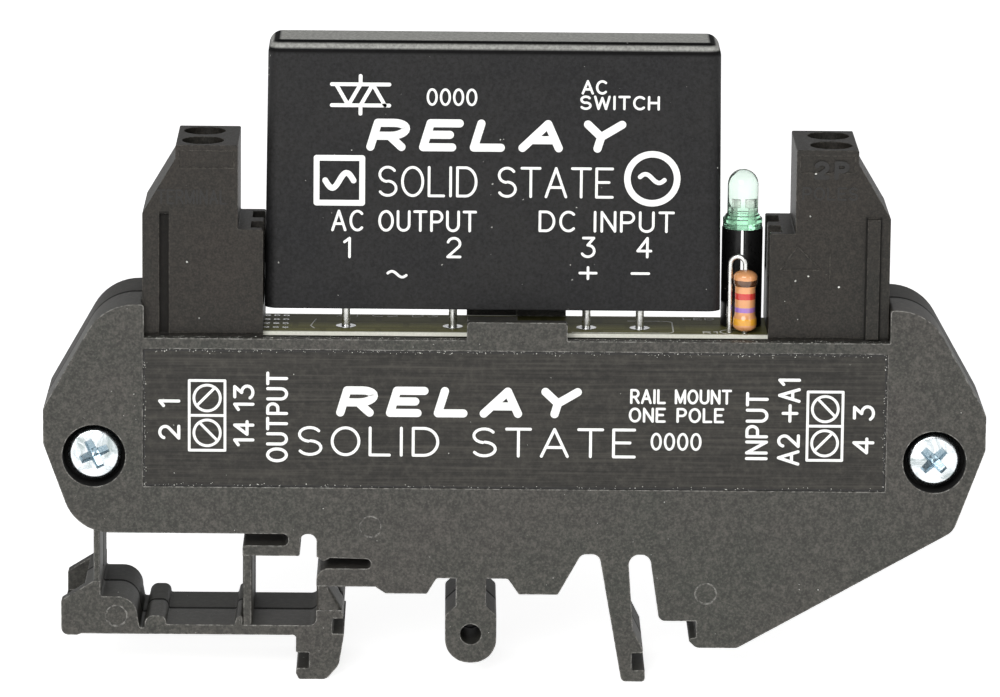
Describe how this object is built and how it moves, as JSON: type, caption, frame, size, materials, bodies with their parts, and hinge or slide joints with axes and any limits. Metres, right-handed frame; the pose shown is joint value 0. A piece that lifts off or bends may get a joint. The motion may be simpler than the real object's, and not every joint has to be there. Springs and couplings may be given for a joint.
{
  "type": "industrial control relay",
  "caption": "DIN-rail solid-state relay module: slim clip-on housing with a relay block, screw terminals and an indicator lamp on its board.",
  "frame": {"origin": "middle of the 35 mm rail's seat: the rail's lips lie under Z = 0, centred on X = 0 and Y = 0", "axes": "+X along the length, with the fixed rail foot on the +X side and the sprung latch on the -X side; the labelled face looks towards -Y; +Z away from the rail"},
  "size_m": [0.0892, 0.0126, 0.0613],
  "materials": {
    "housing_plastic": "fine moulded satin",
    "terminal_plastic": "moulded satin",
    "relay_plastic": "fine grain",
    "spacer_plastic": "satin",
    "label_film": "satin film",
    "zinc_screw": "bright zinc plate",
    "plated_cage": "nickel plate",
    "tinned_lead": "tinned",
    "solder": "bright solder",
    "board_laminate": "solder mask",
    "potting_resin": "cast resin",
    "ceramic": "fired ceramic",
    "silicon_chip": "polished",
    "component_black": "moulded",
    "green_lens": "tinted clear epoxy",
    "resistor_coat": "lacquer with bands"
  },
  "bodies": {
    "housing": {"front_housing_half": "housing_plastic", "rear_housing_half": "housing_plastic", "front_outer_leaf": "housing_plastic", "rear_outer_leaf": "housing_plastic", "front_inner_leaf": "housing_plastic", "rear_inner_leaf": "housing_plastic", "front_stem": "housing_plastic", "rear_stem": "housing_plastic", "housing_screws": "zinc_screw", "front_label": "label_film", "circuit_board": "board_laminate", "solder_joints": "solder", "relay_case": "relay_plastic", "relay_potting": "potting_resin", "relay_pins": "tinned_lead", "relay_substrate": "ceramic", "relay_thyristors": "silicon_chip", "relay_optocoupler": "component_black", "relay_gate_parts": "component_black", "left_terminal_body": "terminal_plastic", "right_terminal_body": "terminal_plastic", "led_lens": "green_lens", "led_anode_lead": "tinned_lead", "led_cathode_lead": "tinned_lead", "led_spacer": "spacer_plastic", "resistor_body": "resistor_coat", "resistor_top_lead": "tinned_lead", "resistor_bottom_lead": "tinned_lead", "left_front_contact_bar": "tinned_lead", "left_rear_contact_bar": "tinned_lead", "right_front_contact_bar": "tinned_lead", "right_rear_contact_bar": "tinned_lead"},
    "latch": {"front_latch": "housing_plastic", "rear_latch": "housing_plastic"},
    "left_front_screw_body": {"left_front_screw": "zinc_screw"},
    "left_front_cage_body": {"left_front_cage": "plated_cage"},
    "left_rear_screw_body": {"left_rear_screw": "zinc_screw"},
    "left_rear_cage_body": {"left_rear_cage": "plated_cage"},
    "right_front_screw_body": {"right_front_screw": "zinc_screw"},
    "right_front_cage_body": {"right_front_cage": "plated_cage"},
    "right_rear_screw_body": {"right_rear_screw": "zinc_screw"},
    "right_rear_cage_body": {"right_rear_cage": "plated_cage"}
  },
  "joints": [
    {"name": "latch_slide", "type": "slide", "parent": "housing", "child": "latch", "axis": [-1, 0, 0], "range_m": [0, 0.0016], "stiffness_N_per_m": 3000},
    {"name": "left_front_screw_turn", "type": "hinge", "parent": "housing", "child": "left_front_screw_body", "pos_m": [-0.02965, -0.0025, 0.0415], "axis": [0, 0, -1], "range_deg": [0, 1801]},
    {"name": "left_front_cage_lift", "type": "slide", "parent": "housing", "child": "left_front_cage_body", "axis": [0, 0, 1], "range_m": [0, 0.0025]},
    {"name": "left_rear_screw_turn", "type": "hinge", "parent": "housing", "child": "left_rear_screw_body", "pos_m": [-0.02965, 0.0025, 0.0415], "axis": [0, 0, -1], "range_deg": [0, 1801]},
    {"name": "left_rear_cage_lift", "type": "slide", "parent": "housing", "child": "left_rear_cage_body", "axis": [0, 0, 1], "range_m": [0, 0.0025]},
    {"name": "right_front_screw_turn", "type": "hinge", "parent": "housing", "child": "right_front_screw_body", "pos_m": [0.02965, -0.0025, 0.0415], "axis": [0, 0, -1], "range_deg": [0, 1801]},
    {"name": "right_front_cage_lift", "type": "slide", "parent": "housing", "child": "right_front_cage_body", "axis": [0, 0, 1], "range_m": [0, 0.0025]},
    {"name": "right_rear_screw_turn", "type": "hinge", "parent": "housing", "child": "right_rear_screw_body", "pos_m": [0.02965, 0.0025, 0.0415], "axis": [0, 0, -1], "range_deg": [0, 1801]},
    {"name": "right_rear_cage_lift", "type": "slide", "parent": "housing", "child": "right_rear_cage_body", "axis": [0, 0, 1], "range_m": [0, 0.0025]}
  ],
  "couplings": [
    {"joint": "left_front_screw_turn", "follows": "left_front_cage_lift", "rad_per_m": 12566},
    {"joint": "left_rear_screw_turn", "follows": "left_rear_cage_lift", "rad_per_m": 12566},
    {"joint": "right_front_screw_turn", "follows": "right_front_cage_lift", "rad_per_m": 12566},
    {"joint": "right_rear_screw_turn", "follows": "right_rear_cage_lift", "rad_per_m": 12566}
  ]
}
